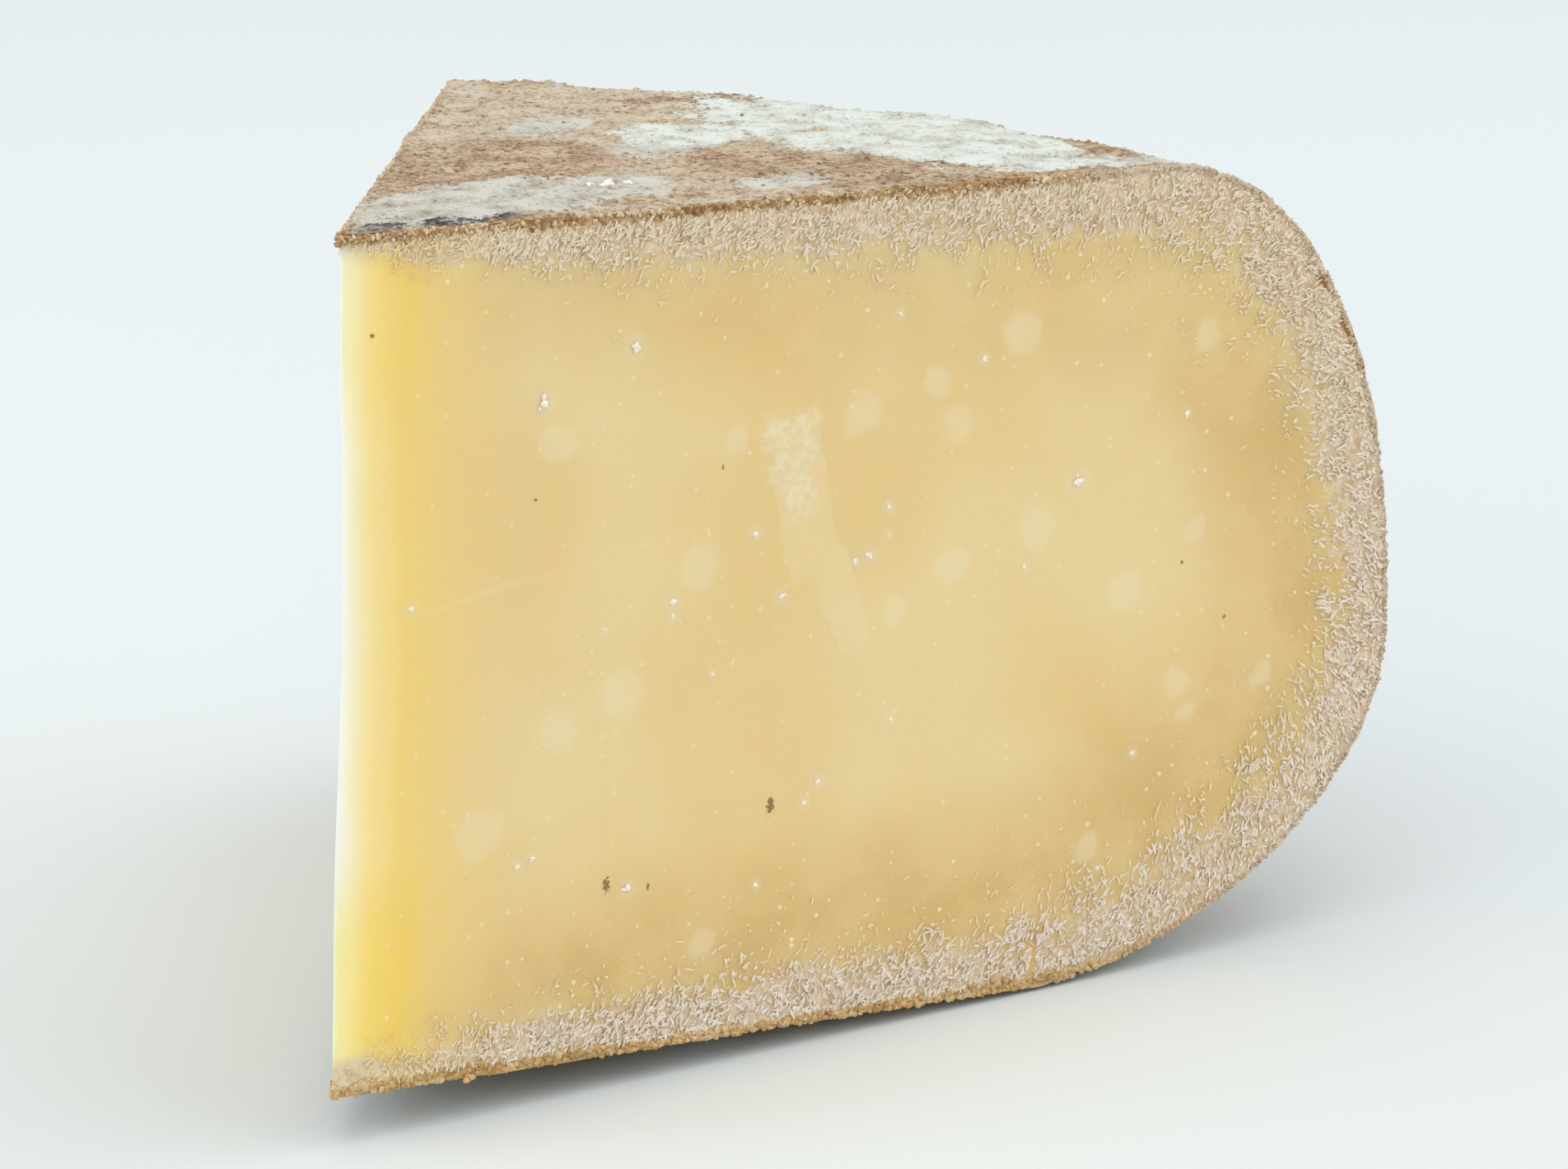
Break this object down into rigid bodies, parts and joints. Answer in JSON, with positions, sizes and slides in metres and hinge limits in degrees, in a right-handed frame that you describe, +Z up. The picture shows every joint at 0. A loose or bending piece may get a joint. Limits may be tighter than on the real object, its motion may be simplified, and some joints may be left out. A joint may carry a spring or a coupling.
{
  "type": "cheese wedge",
  "caption": "Wedge of hard aged cheese cut from a round wheel, with two flat cut faces, a rounded rim and a natural mottled rind.",
  "frame": {"origin": "centre of the bounding box at the underside that the wedge stands on", "axes": "+X along the front cut face from the thin nose edge to the rim, +Y from the front cut face to the back, +Z up along the wheel's axis"},
  "size_m": [0.16, 0.1302, 0.108],
  "materials": {
    "cheese": "waxy cut paste, dry crumbly border and mottled brushed rind"
  },
  "bodies": {
    "root": {"cheese_wedge": "cheese"}
  },
  "joints": []
}
